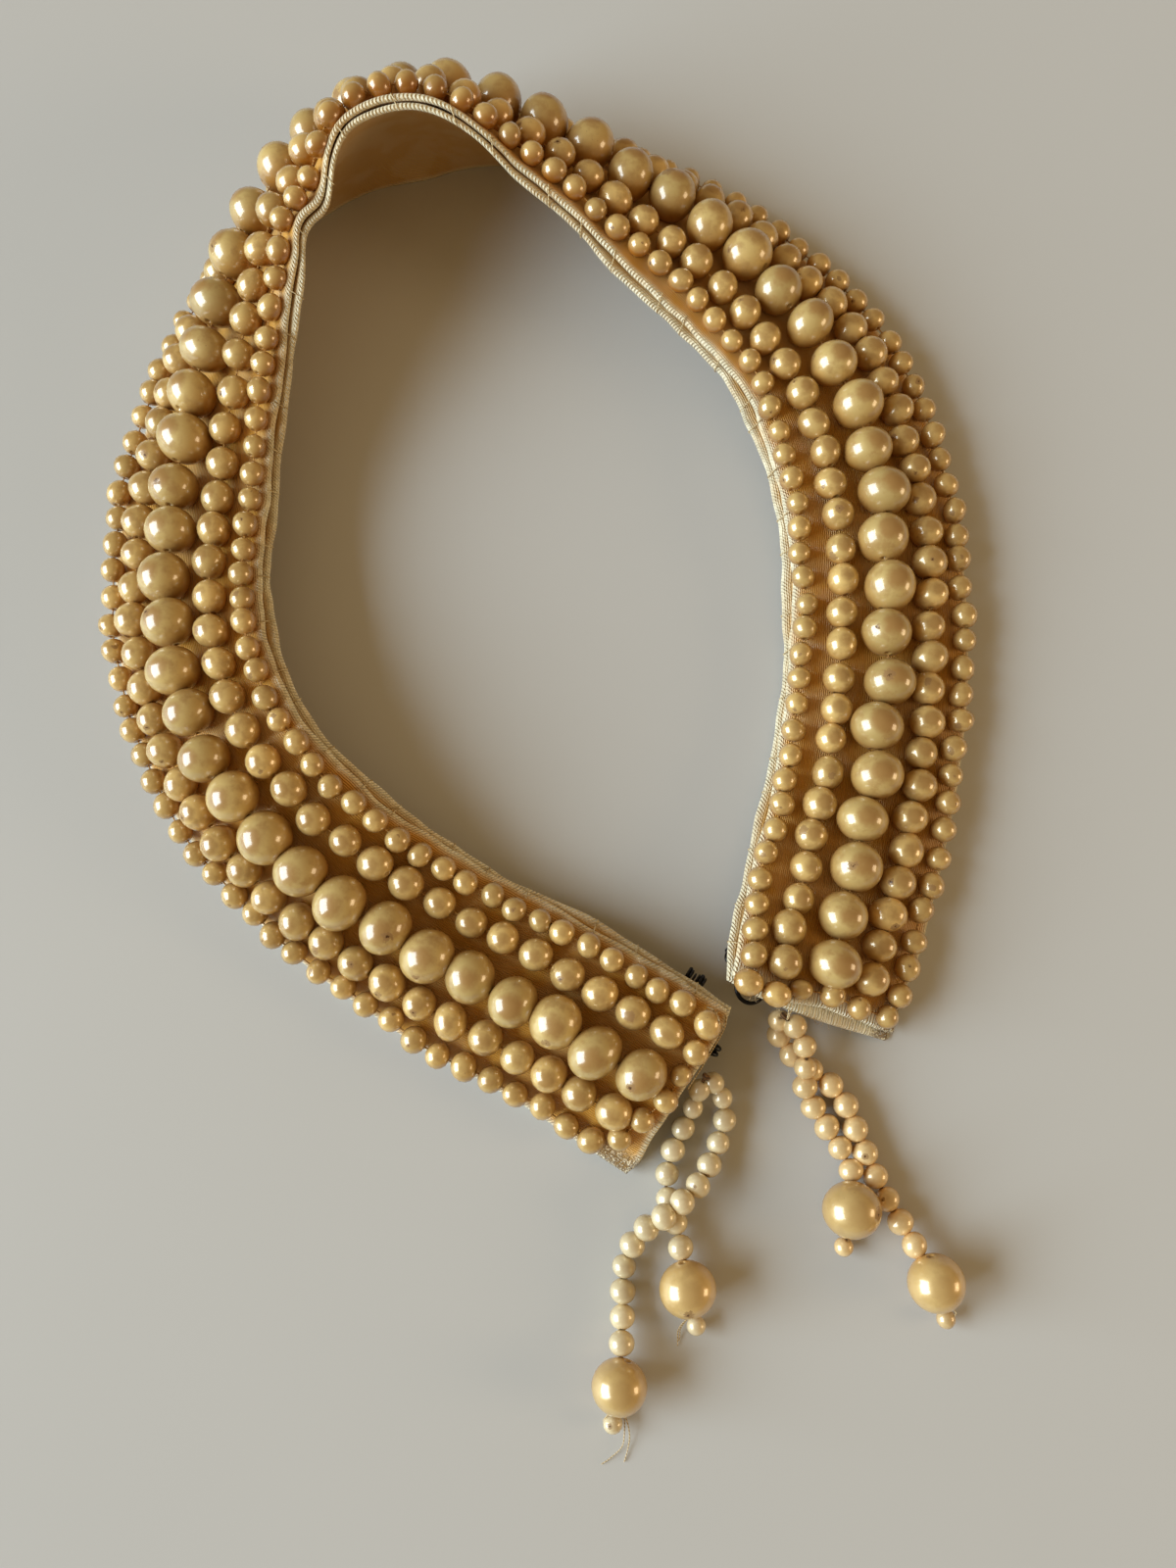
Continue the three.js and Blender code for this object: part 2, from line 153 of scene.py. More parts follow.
# Where the neck edge buckles at the back, through both sheets and under the pearls, as the creases
BUCKLES = [
    (180.5, 31, 4, 9, 0.8),
    (189, 31, 4.6, 9, -2.3),
    (199.5, 31, 5, 8, 0.9),
]

# How far the folded edges stray from the neck line: along the centre line, reach, the top
# cloth's share and the lining's.
NECK_WAVES = [
    # along, reach, top, lining
    (20, 12, -0.3, 0.5),
    (62, 15, 0.1, 0.9),
    (101, 12, -0.2, 0.6),
    (140, 16, -0.1, 0.5),
    (172, 8, 0.2, 0.7),
    (226, 14, -0.2, 0.6),
    (262, 12, 0.1, 0.9),
    (296, 14, -0.3, 0.7),
    (330, 16, 0, 1.0),
    (372, 15, -0.2, 0.8),
    (398, 8, -0.1, 0.6),
]


def between(here, after, leave, arrive, w):
    """Points from here to after, given how fast the curve leaves the one and arrives at the other."""
    bend = 2 * here - 2 * after + leave + arrive
    turn = -3 * here + 3 * after - 2 * leave - arrive
    return ((bend * w + turn) * w + leave) * w + here


def curve_at(points, t):
    """Points on a smooth curve through evenly counted points."""
    last = len(points) - 1
    ends = np.vstack([2 * points[0] - points[1], points, 2 * points[-1] - points[-2]])
    place = np.clip(t, 0, 1) * last
    i = np.minimum(place.astype(int), last - 1)
    w = (place - i)[..., None]
    before, here, after, beyond = (ends[i + k] for k in range(4))
    return between(here, after, 0.5 * (after - before), 0.5 * (beyond - here), w)


def band_frame(t):
    """The band's own directions at t, from 0 at the left end to 1 at the right end."""
    t = np.asarray(t, dtype=float)
    here = curve_at(SECTIONS, t)
    step = curve_at(SECTIONS, np.clip(t + 1e-4, 0, 1)) - curve_at(SECTIONS, np.clip(t - 1e-4, 0, 1))
    along = step[..., :2] / np.linalg.norm(step[..., :2], axis=-1, keepdims=True)
    inward = np.stack([along[..., 1], -along[..., 0]], -1)
    lean = np.radians(here[..., 2:3])
    across = np.concatenate([inward * np.cos(lean), np.sin(lean)], -1)
    outward = np.concatenate([-inward * np.sin(lean), np.cos(lean)], -1)
    flat = np.zeros(here.shape[:-1] + (1,))
    foot = np.concatenate([here[..., :2], flat], -1)
    return foot, np.concatenate([along, flat], -1), across, outward, here[..., 3]


def band_point(t, inside, up):
    """Points of the band, by distance in from the outer edge and height off the lining's inside."""
    t, inside, up = np.broadcast_arrays(*(np.asarray(x, dtype=float) for x in (t, inside, up)))
    foot, _, across, outward, bulge = band_frame(t)
    share = inside / BAND_WIDTH
    rise = up - SETTLE + bulge * 4 * share * (1 - share)
    return foot + across * inside[..., None] + outward * rise[..., None]


class Run:
    """Lengths along the band at one distance in from its outer edge."""

    def __init__(self, inside, samples=2400):
        self.t = np.linspace(0, 1, samples + 1)
        steps = np.diff(band_point(self.t, inside, 0), axis=0)
        self.lengths = np.concatenate([[0], np.cumsum(np.linalg.norm(steps, axis=1))])
        self.total = self.lengths[-1]

    def t_at(self, length):
        return np.interp(length, self.lengths, self.t)


CENTRE = Run(BAND_WIDTH / 2)


def band_place(length, inside, up):
    """As band_point, by length from the left end, and on in a straight line past either end."""
    kept = np.clip(length, 0, CENTRE.total)
    t = CENTRE.t_at(kept)
    past = np.asarray(length - kept, dtype=float)
    return band_point(t, inside, up) + band_frame(t)[1] * past[..., None]


def humps(x, y, table):
    """The sum of soft humps, each given as x, y, reach along x, reach along y and height."""
    total = np.zeros(np.broadcast(x, y).shape)
    for at_x, at_y, reach_x, reach_y, height in table:
        total += height * np.exp(-(((x - at_x) / reach_x) ** 2) - ((y - at_y) / reach_y) ** 2)
    return total


def table_at(x, table):
    """Reads a table of pairs at x, with straight steps between them."""
    return np.interp(x, [p[0] for p in table], [p[1] for p in table])


def smooth_step(x, low, high):
    w = np.clip((x - low) / (high - low), 0, 1)
    return w * w * (3 - 2 * w)


def straying(length, column):
    """How far a folded neck edge strays inwards at a length along the centre line."""
    slow = 0.16 * np.sin(length / 7.1 + column) + 0.14 * np.sin(length / 3.3 + 2 * column)
    slow += 0.08 * np.sin(length / 1.4 + 3 * column + np.sin(length / 9))
    return slow + sum(w[column] * np.exp(-(((length - w[0]) / w[1]) ** 2)) for w in NECK_WAVES)


def top_stray(length):
    return straying(length, 2) - 0.2


def lining_stray(length):
    return straying(length, 3)


def row_lengths(row):
    """Where a row's pearls sit, as lengths along the centre line."""
    run = Run(row["at"])
    start, end = row["ends"][0], run.total - row["ends"][1]
    first, last = row["pitch"]
    count = round(2 * (end - start) / (first + last)) + 1
    w = np.linspace(0, 1, count)
    share = (2 * first * w + (last - first) * w * w) / (first + last)
    return np.interp(run.t_at(start + (end - start) * share), CENTRE.t, CENTRE.lengths)


for row in PEARL_ROWS:
    row["places"] = row_lengths(row)


def top_relief(length, inside):
    """The top cloth's height off its plain form: creases, the pull of the sewing under each row, and a fine
    unevenness."""
    relief = humps(length, inside, CREASES)
    for row in PEARL_ROWS:
        turn = np.interp(length, row["places"], np.arange(len(row["places"])))
        pull = 0.5 - 0.5 * np.cos(2 * np.pi * turn)
        reach = row["across"] * 0.3
        relief -= (0.12 + 0.14 * pull) * np.exp(-(((inside - row["at"]) / reach) ** 2))
    fine = 0.07 * np.sin(length / 1.9 + 0.8 * np.sin(length / 11)) * np.sin(inside / 1.7 + length / 23)
    return relief + fine


# Making in Blender


def clear_selection():
    if bpy.context.object and bpy.context.object.mode != "OBJECT":
        bpy.ops.object.mode_set(mode="OBJECT")
    bpy.ops.object.select_all(action="DESELECT")


def pick(piece):
    clear_selection()
    piece.select_set(True)
    bpy.context.view_layer.objects.active = piece


def points_of(piece):
    co = np.empty(len(piece.data.vertices) * 3)
    piece.data.vertices.foreach_get("co", co)
    return co.reshape(-1, 3)


def set_points(piece, points):
    piece.data.vertices.foreach_set("co", np.ascontiguousarray(points, dtype=float).ravel())
    piece.data.update()


def add_values(piece, name, kind, values):
    """Keeps one value for each vertex as an attribute that the piece's material reads."""
    layer = piece.data.attributes.new(name, kind, "POINT")
    key = {"FLOAT": "value", "FLOAT_VECTOR": "vector", "FLOAT_COLOR": "color"}[kind]
    layer.data.foreach_set(key, np.ascontiguousarray(values, dtype=float).ravel())


def finish_piece(piece, material, stands_for=()):
    piece.data.name = piece.name
    piece.data.materials.clear()
    piece.data.materials.append(material)
    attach(piece, "root")
    if stands_for:
        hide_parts(*stands_for)
    return piece


def close_shell(piece, merge=0.00001):
    """Joins a shell's open seams and turns its faces outwards."""
    pick(piece)
    bpy.ops.object.mode_set(mode="EDIT")
    bpy.ops.mesh.select_all(action="SELECT")
    bpy.ops.mesh.remove_doubles(threshold=merge)
    bpy.ops.mesh.normals_make_consistent(inside=False)
    bpy.ops.object.mode_set(mode="OBJECT")
    bpy.ops.object.shade_smooth()


def edge_steps(total, step, rounding=(0, 0.1, 0.3, 0.65, 1.2)):
    """Places from 0 to total, close together at both ends where a folded edge rounds over."""
    middle = np.arange(rounding[-1] + step, total - rounding[-1] - step * 0.5, step)
    return np.concatenate([rounding, middle, total - np.array(rounding[::-1])])


CLOTH_STEPS = (1.0, 0.92)  # a sheet's squares, along the band and across it


def cloth_wall(name, middle, thick, length, relief, stray, right_reach):
    """A satin sheet with its edges turned in: two faces that round over into each other on every side.
    Where it would press through the table it lies on it."""
    along = edge_steps(length, CLOTH_STEPS[0])
    inside = edge_steps(BAND_WIDTH, CLOTH_STEPS[1])
    around = np.concatenate([inside, inside[::-1][1:]])
    side = np.concatenate([np.ones(len(inside)), -np.ones(len(inside) - 1)])
    clear_selection()
    bpy.ops.mesh.primitive_grid_add(
        x_subdivisions=len(along) - 1, y_subdivisions=len(around) - 1, size=1, location=(0, 0, 0)
    )
    piece = bpy.context.object
    grid = points_of(piece)
    i = np.rint((grid[:, 0] + 0.5) * (len(along) - 1)).astype(int)
    j = np.rint((grid[:, 1] + 0.5) * (len(around) - 1)).astype(int)
    s, a, face = along[i], around[j], side[j]
    half = thick / 2

    def rounded(x, total):
        near = np.minimum(np.minimum(x, total - x), half) / half
        return np.sqrt(np.maximum(1 - (1 - near) ** 2, 0))

    swell = half * rounded(a, BAND_WIDTH) * rounded(s, length)
    left, right = 1 - smooth_step(s, 0, END_REACH), smooth_step(s, length - END_REACH, length)
    bowed = s - table_at(a, LEFT_REACH) * left + table_at(a, right_reach) * right
    narrowed = (1 - a / BAND_WIDTH) * smooth_step(s, length - 16, length - 3)
    strayed = a + narrowed + stray(s) * smooth_step(a, BAND_WIDTH - NECK_REACH, BAND_WIDTH)
    height = middle + relief(s, a) + humps(s, a, BUCKLES) + face * swell
    points = band_place(bowed, strayed, height)
    inward = band_frame(CENTRE.t_at(np.clip(bowed, 0, CENTRE.total)))[2] * np.array([1, 1, 0])
    points += inward * (table_at(s, TUCK) * (1 - smooth_step(a, 0, TUCK_REACH)))[:, None]
    points[:, 2] = np.maximum(points[:, 2], 0)
    set_points(piece, (points + OFFSET) * MM)
    add_values(piece, "cloth_place", "FLOAT_VECTOR", np.stack([s, a, face], -1) * MM)
    close_shell(piece)
    piece.name = name
    return piece


def pearl_master(around, rings, hole):
    """One pearl, one across, drilled in at both ends along X."""
    clear_selection()
    bpy.ops.mesh.primitive_uv_sphere_add(segments=around, ring_count=rings, radius=0.5, location=(0, 0, 0))
    pearl = bpy.context.object
    for pole in (1, -1):
        for v in pearl.data.vertices:
            v.select = v.co.z * pole > 0.4999
        for e in pearl.data.edges:
            e.select = False
        for f in pearl.data.polygons:
            f.select = False
        bpy.ops.object.mode_set(mode="EDIT")
        bpy.ops.mesh.select_mode(type="VERT")
        bpy.ops.mesh.bevel(offset=hole, affect="VERTICES", segments=1)
        bpy.ops.mesh.extrude_region_move(TRANSFORM_OT_translate={"value": (0, 0, -0.09 * pole)})
        bpy.ops.transform.resize(value=(0.7, 0.7, 1))
        bpy.ops.object.mode_set(mode="OBJECT")
    bpy.ops.object.mode_set(mode="EDIT")
    bpy.ops.mesh.select_all(action="SELECT")
    bpy.ops.transform.rotate(value=math.pi / 2, orient_axis="Y", center_override=(0, 0, 0))
    bpy.ops.mesh.normals_make_consistent(inside=False)
    bpy.ops.object.mode_set(mode="OBJECT")
    return pearl


def unit(v):
    return v / np.linalg.norm(v, axis=-1, keepdims=True)


def strung(name, master, beads, out_of_round):
    """Copies of one pearl, each with its own mesh, place, size and slight unevenness, joined as a piece.
    beads holds the arrays centre, axis, up, along, across, tone, chip and baroque."""
    shape = points_of(master)
    count, size = len(beads["centre"]), len(shape)
    axis = unit(beads["axis"] + dice.normal(0, 0.12, (count, 3)))
    side = unit(np.cross(beads["up"], axis))
    top = np.cross(axis, side)
    lump = unit(dice.normal(size=(count, 3)))
    taper = unit(dice.normal(size=(count, 3)))
    round_shape = unit(shape)
    uneven = out_of_round * (beads["baroque"][:, None] + 0.4)
    grown = 1 + uneven * (3 * (round_shape @ lump.T).T ** 2 - 1) + uneven * (round_shape @ taper.T).T ** 3
    local = shape[None] * grown[..., None]
    length, width = beads["along"][:, None, None], beads["across"][:, None, None]
    points = (
        local[..., :1] * length * axis[:, None]
        + local[..., 1:2] * width * side[:, None]
        + local[..., 2:3] * width * top[:, None]
        + beads["centre"][:, None]
    )
    faces = [tuple(p.vertices) for p in master.data.polygons]
    mesh = bpy.data.meshes.new(name)
    all_faces = [tuple(k * size + v for v in f) for k in range(count) for f in faces]
    mesh.from_pydata(((points.reshape(-1, 3) + OFFSET) * MM).tolist(), [], all_faces)
    piece = bpy.data.objects.new(name, mesh)
    bpy.context.scene.collection.objects.link(piece)
    mesh.shade_smooth()
    from_centre = points - beads["centre"][:, None]
    crown = 0.5 + (from_centre * beads["up"][:, None]).sum(-1) / beads["across"][:, None]
    spread = np.ones((count, size))
    own, chip, baroque = (beads[key][:, None] * spread for key in ("tone", "chip", "baroque"))
    add_values(piece, "tone", "FLOAT_COLOR", np.stack([own, crown, chip, baroque], -1))
    chip_way = unit(dice.normal(0, 0.42, (count, 3)) + np.array([-0.4, -0.3, 0.3]) + beads["up"] * 0.6)
    add_values(piece, "chip_way", "FLOAT_VECTOR", chip_way[:, None] * spread[..., None])
    add_values(piece, "from_centre", "FLOAT_VECTOR", unit(from_centre))
    return piece


def rounded_tube(name, paths, across, sides=8, closed=False):
    """Thread or wire: round tubes along smooth lines of points, as one mesh."""
    curve = bpy.data.curves.new(name, "CURVE")
    curve.dimensions = "3D"
    curve.bevel_depth = across / 2 * MM
    curve.bevel_resolution = max(0, sides // 4 - 1)
    curve.use_fill_caps = True
    for path in paths:
        line = curve.splines.new("POLY")
        line.points.add(len(path) - 1)
        where = (np.asarray(path) + OFFSET) * MM
        line.points.foreach_set("co", np.column_stack([where, np.ones(len(where))]).ravel())
        line.use_cyclic_u = closed
    tube = bpy.data.objects.new(name, curve)
    bpy.context.scene.collection.objects.link(tube)
    pick(tube)
    bpy.ops.object.convert(target="MESH")
    piece = bpy.context.object
    bpy.ops.object.shade_smooth()
    return piece


def smooth_line(points):
    """A smooth line through uneven points: a function that gives its point at a length, and its length."""
    points = np.asarray(points, dtype=float)
    ends = np.vstack([2 * points[0] - points[1], points, 2 * points[-1] - points[-2]])
    chords = np.maximum(np.linalg.norm(np.diff(ends, axis=0), axis=1) ** 0.5, 1e-4)
    dense = []
    for i in range(len(points) - 1):
        before, here, after, beyond = ends[i:i + 4]
        d0, d1, d2 = chords[i:i + 3]
        leave = ((here - before) / d0 - (after - before) / (d0 + d1) + (after - here) / d1) * d1
        arrive = ((after - here) / d1 - (beyond - here) / (d1 + d2) + (beyond - after) / d2) * d1
        w = np.linspace(0, 1, 60, endpoint=i == len(points) - 2)[:, None]
        dense.append(between(here, after, leave, arrive, w))
    dense = np.vstack(dense)
    lengths = np.concatenate([[0], np.cumsum(np.linalg.norm(np.diff(dense, axis=0), axis=1))])

    def at(length):
        return np.stack([np.interp(length, lengths, dense[:, k]) for k in range(3)], -1)

    return at, lengths[-1]


def evenly(points, step, least):
    """A smooth line through uneven points, as points in even steps."""
    at, total = smooth_line(points)
    return at(np.linspace(0, total, max(least, int(total / step))))


# Materials


def new_group(name, inputs, outputs):
    """An empty shader node group, and the sockets inside it that bring its inputs and take its outputs."""
    group = bpy.data.node_groups.new(name, "ShaderNodeTree")
    for label, value in inputs.items():
        kind = "NodeSocketColor" if isinstance(value, tuple) else "NodeSocketFloat"
        group.interface.new_socket(name=label, in_out="INPUT", socket_type=kind).default_value = value
    for label in outputs:
        kind = "NodeSocketColor" if label == "Color" else "NodeSocketFloat"
        group.interface.new_socket(name=label, in_out="OUTPUT", socket_type=kind)
    return group, group.nodes.new("NodeGroupInput").outputs, group.nodes.new("NodeGroupOutput").inputs


def add(tree, kind, settings=(), inputs=()):
    """One node with its settings, and for each socket its own value or the output that feeds it."""
    made = tree.nodes.new(kind)
    for key, value in dict(settings).items():
        setattr(made, key, value)
    for key, x in dict(inputs).items():
        if isinstance(x, bpy.types.NodeSocket):
            tree.links.new(x, made.inputs[key])
        else:
            made.inputs[key].default_value = x
    return made


def attribute(tree, name):
    return add(tree, "ShaderNodeAttribute", {"attribute_name": name}).outputs


def object_place(tree):
    return add(tree, "ShaderNodeTexCoord").outputs["Object"]


def maths(tree, operation, *terms, clamp=False):
    made = add(tree, "ShaderNodeMath", {"operation": operation, "use_clamp": clamp}, dict(enumerate(terms)))
    return made.outputs[0]


def times(tree, a, b):
    return maths(tree, "MULTIPLY", a, b)


def plus(tree, a, b, clamp=False):
    return maths(tree, "ADD", a, b, clamp=clamp)


def less(tree, a, b, clamp=False):
    return maths(tree, "SUBTRACT", a, b, clamp=clamp)


def larger(tree, a, b):
    return maths(tree, "MAXIMUM", a, b)


def stripes(tree, place, pitch):
    """Soft lines at a pitch, from -1 to 1."""
    return maths(tree, "SINE", times(tree, place, 2 * math.pi / pitch))


def mixed(tree, share, a, b):
    return add(tree, "ShaderNodeMix", {"data_type": "RGBA"}, {0: share, 6: a, 7: b}).outputs[2]


def ramp(tree, source, low, high, smooth=True, out=(0.0, 1.0)):
    kind = {"interpolation_type": "SMOOTHSTEP" if smooth else "LINEAR"}
    inputs = {"Value": source, "From Min": low, "From Max": high, "To Min": out[0], "To Max": out[1]}
    return add(tree, "ShaderNodeMapRange", kind, inputs).outputs["Result"]


def noise_of(tree, where, scale, detail=2.0, rough=0.5):
    inputs = {"Vector": where, "Scale": scale, "Detail": detail, "Roughness": rough}
    return add(tree, "ShaderNodeTexNoise", {}, inputs).outputs["Fac"]


def lit_by(tree, light, colour):
    """A colour made lighter or darker by a value."""
    inputs = {"Saturation": 1.0, "Fac": 1.0, "Value": light, "Color": colour}
    return add(tree, "ShaderNodeHueSaturation", {}, inputs).outputs["Color"]


def hue(r, g, b):
    """A colour given as it looks on a screen, turned into the shader's linear one."""
    return tuple((c / 255) ** 2.2 for c in (r, g, b)) + (1.0,)


def lustre_group():
    """Pearl lacquer: painted shade in deeper gold on each pearl's lower side, down between the pearls, and a
    painted dark reflection on its crown; mottled, with flaked chips and specks, and a painted dark drill hole
    in some chips.
    """
    group, given, out = new_group(
        "pearl_lustre",
        {
            "Pale": hue(236, 214, 168),
            "Shaded_Underside": hue(176, 120, 54),
            "Chipped": hue(150, 116, 78),
            "Mottle": 0.35,
            "Crown_Reflection": 0.4,
            "Gloss": 0.3,
        },
        ("Color", "Roughness", "Lacquer", "Height"),
    )
    where = object_place(group)
    tone = attribute(group, "tone")
    split = add(group, "ShaderNodeSeparateColor", {}, {"Color": tone["Color"]})
    own, crown, chip_size = (split.outputs[k] for k in ("Red", "Green", "Blue"))
    baroque = tone["Alpha"]
    cloudy = noise_of(group, where, 420, 3, 0.6)
    fine = noise_of(group, where, 1900, 2, 0.5)
    # Painted shade: each pearl runs from its pale crown down to the shaded gold of its lower side, between
    # its neighbours.
    seat = ramp(group, plus(group, crown, times(group, cloudy, 0.16)), 0.3, 1.0)
    base = mixed(group, seat, given["Shaded_Underside"], given["Pale"])
    own_shade = ramp(group, own, 0, 1, False, (0.8, 1.12))
    shaded = lit_by(group, own_shade, base)
    mottle = times(group, ramp(group, cloudy, 0.42, 0.7), given["Mottle"])
    # Painted dark reflection: a duller, darker patch on each pearl's crown stands in for the dark room
    # reflected there.
    crown_reflection = plus(group, crown, times(group, cloudy, 0.12))
    crown_reflection = times(group, ramp(group, crown_reflection, 0.95, 1.05), given["Crown_Reflection"])
    shade = larger(group, mottle, crown_reflection)
    mottle_and_reflection = mixed(group, shade, shaded, hue(164, 124, 72))
    ends = {0: attribute(group, "from_centre")["Vector"], 1: attribute(group, "chip_way")["Vector"]}
    offset = add(group, "ShaderNodeVectorMath", {"operation": "SUBTRACT"}, ends)
    away = add(group, "ShaderNodeVectorMath", {"operation": "LENGTH"}, {0: offset.outputs[0]})
    tear = ramp(group, noise_of(group, where, 1300, 3, 0.7), 0.3, 0.7, False, (-0.12, 0.12))
    ragged = plus(group, away.outputs["Value"], tear)
    chip = ramp(group, less(group, chip_size, ragged), 0, 0.03)
    speck = ramp(group, noise_of(group, where, 2600, 1, 0.5), 0.74, 0.79)
    flaw = larger(group, chip, times(group, speck, baroque))
    peeled = mixed(group, times(group, flaw, 0.75), mottle_and_reflection, given["Chipped"])
    # Painted shade of a drill hole: a dark dot in the middle of some chips, where the mesh has no hole.
    drilled = ramp(group, ragged, 0, 0.05, True, (1, 0))
    hole = times(group, drilled, ramp(group, chip_size, 0, 0.05))
    coloured = mixed(group, hole, peeled, hue(84, 54, 24))
    flaw = larger(group, flaw, hole)
    rough = plus(group, given["Gloss"], times(group, cloudy, 0.16))
    rough = plus(group, rough, times(group, flaw, 0.22), True)
    lacquer = less(group, 0.85, times(group, flaw, 0.7), True)
    height = plus(group, times(group, cloudy, 0.7), times(group, fine, 0.12))
    height = less(group, height, times(group, flaw, 0.5))
    made = {"Color": coloured, "Roughness": rough, "Lacquer": lacquer, "Height": height}
    for key, source in made.items():
        group.links.new(source, out[key])
    return group


# For the satin, in metres
HALF_WIDTH = BAND_WIDTH / 2 * MM
WARP_PITCH = 0.00034
HEM_RIB_PITCH = 0.00066
END_CORD_PITCH = 0.00052


def satin_group():
    """Woven satin: fine warp lines along the band, slubs, ribs on the hems, cords along the cut ends, and
    painted glints over darker specks on the corners.
    Away from the hems and cut ends it takes a deeper gold: painted shade and painted gold reflected off the
    pearls, with a little ageing."""
    group, given, out = new_group(
        "satin_weave",
        {"Cloth": hue(226, 204, 150), "Shade_And_Age": hue(186, 142, 82), "Length": 0.4},
        ("Color", "Roughness", "Height"),
    )
    where = object_place(group)
    split = add(group, "ShaderNodeSeparateXYZ", {}, {0: attribute(group, "cloth_place")["Vector"]})
    along, inside = split.outputs["X"], split.outputs["Y"]
    wobble = times(group, noise_of(group, where, 500, 2), 0.0004)
    warp = stripes(group, plus(group, inside, wobble), WARP_PITCH)
    slanted = plus(group, along, times(group, inside, 0.9))
    weft = stripes(group, slanted, HEM_RIB_PITCH)
    off_middle = maths(group, "ABSOLUTE", less(group, inside, HALF_WIDTH))
    hem = ramp(group, off_middle, HALF_WIDTH - 0.0016, HALF_WIDTH)
    patchy = ramp(group, noise_of(group, where, 700, 2), 0.35, 0.6, False, (0.2, 1.2))
    rib = times(group, times(group, weft, hem), patchy)
    far_end = less(group, given["Length"], along)
    left_end = ramp(group, along, 0.0002, 0.0014, True, (1, 0))
    end = larger(group, left_end, ramp(group, far_end, 0.0012, 0.0042, True, (1, 0)))
    cord = stripes(group, plus(group, inside, wobble), END_CORD_PITCH)
    from_end = maths(group, "MINIMUM", along, far_end)
    near_end = ramp(group, from_end, 0.003, 0.0105, True, (1, 0))
    corner = times(group, near_end, ramp(group, inside, 0.0015, 0.0045, True, (1, 0)))
    calm = less(group, 1.0, times(group, corner, 0.7))
    cord = times(group, times(group, cord, end), times(group, patchy, calm))
    rib = plus(group, rib, cord)
    grains = noise_of(group, where, 2600, 2, 0.6)
    grain = ramp(group, grains, 0.4, 0.62, False, (-1.2, 0.9))
    glitter = times(group, times(group, grain, corner), 3.0)
    woven = plus(group, times(group, warp, 0.3), times(group, rib, 0.9))
    woven = plus(group, woven, glitter)
    slub = noise_of(group, where, 160, 3)
    stain = ramp(group, slub, 0.38, 0.72)
    # Painted shade: the face between the hems and cut ends takes the second, deeper gold, standing in for
    # shade and the gold light the pearls reflect onto it; the slub stains add a little real ageing.
    hollow = less(group, 1.0, larger(group, hem, end))
    shade_and_age = plus(group, times(group, hollow, 0.85), times(group, stain, 0.3), True)
    base = mixed(group, shade_and_age, given["Cloth"], given["Shade_And_Age"])
    # Painted glints: near-white specks of light on the crumpled corner threads, over darker gold specks.
    corner_glints = mixed(group, ramp(group, grains, 0.48, 0.62), hue(168, 130, 76), hue(255, 248, 220))
    base = mixed(group, times(group, corner, 0.8), base, corner_glints)
    thread_light = ramp(group, woven, -1, 1, False, (0.76, 1.1))
    rough = plus(group, ramp(group, slub, 0.3, 0.7, False, (0.3, 0.42)), times(group, woven, 0.05))
    rough = less(group, rough, times(group, corner, 0.08))
    lit = lit_by(group, thread_light, base)
    for key, source in {"Color": lit, "Roughness": rough, "Height": woven}.items():
        group.links.new(source, out[key])
    return group


def new_material(name):
    """A material, with its node tree and its shader."""
    made = bpy.data.materials.new(name)
    made.use_nodes = True
    return made, made.node_tree, made.node_tree.nodes["Principled BSDF"]


def add_bump(tree, shader, height, strength, distance):
    relief = add(tree, "ShaderNodeBump", {}, {"Strength": strength, "Distance": distance, "Height": height})
    tree.links.new(relief.outputs["Normal"], shader.inputs["Normal"])


def dressed(name, group, values, feeds, constants, bump):
    """A material whose shader takes what one of the groups puts out, with its own constant values."""
    made, tree, shader = new_material(name)
    source = add(tree, "ShaderNodeGroup", {"node_tree": group}, values)
    for output, socket in feeds.items():
        tree.links.new(source.outputs[output], shader.inputs[socket])
    for socket, value in constants.items():
        shader.inputs[socket].default_value = value
    add_bump(tree, shader, source.outputs["Height"], *bump)
    return made


LUSTRE = lustre_group()
SATIN = satin_group()
PEARL_FEEDS = {"Color": "Base Color", "Roughness": "Roughness", "Lacquer": "Coat Weight"}


# A pearl's look: a pale colour, a painted shade colour for its lower side and a painted dark reflection on
# its crown.
def pearl_material(name, pale, shaded_underside, metal, gloss, mottle, crown_reflection):
    return dressed(
        name,
        LUSTRE,
        {"Pale": hue(*pale), "Shaded_Underside": hue(*shaded_underside), "Gloss": gloss, "Mottle": mottle, "Crown_Reflection": crown_reflection},
        PEARL_FEEDS,
        {"Metallic": metal, "Coat Roughness": 0.15, "Coat IOR": 1.85, "Specular IOR Level": 0.3},
        (0.3, 0.0002),
    )


PEARL_LOOKS = {
    # pale colour and the painted shade colour of the lower sides, then metal, gloss, mottle and the painted
    # dark reflection on the crowns
    "large_pearl": ((206, 179, 116), (168, 112, 42), 0.12, 0.36, 0.62, 0.9),
    "medium_pearl": ((223, 190, 122), (169, 110, 39), 0.16, 0.24, 0.6, 0.8),
    "small_pearl": ((222, 188, 120), (166, 106, 38), 0.17, 0.23, 0.58, 0.6),
    "ivory_bead": ((234, 218, 178), (208, 180, 128), 0.12, 0.3, 0.15, 0.3),
    "golden_bead": ((248, 218, 162), (216, 164, 92), 0.18, 0.26, 0.25, 0.3),
    "drop_pearl": ((216, 185, 124), (190, 142, 74), 0.18, 0.28, 0.25, 0.4),
}
LACQUER = {name: pearl_material(name + "_lacquer", *look) for name, look in PEARL_LOOKS.items()}

CLOTH_FEEDS = {"Color": "Base Color", "Roughness": "Roughness"}
TOP_LENGTH = CENTRE.total - LINING_SHOWS
CLOTH_BUMP = (0.7, 0.00026)
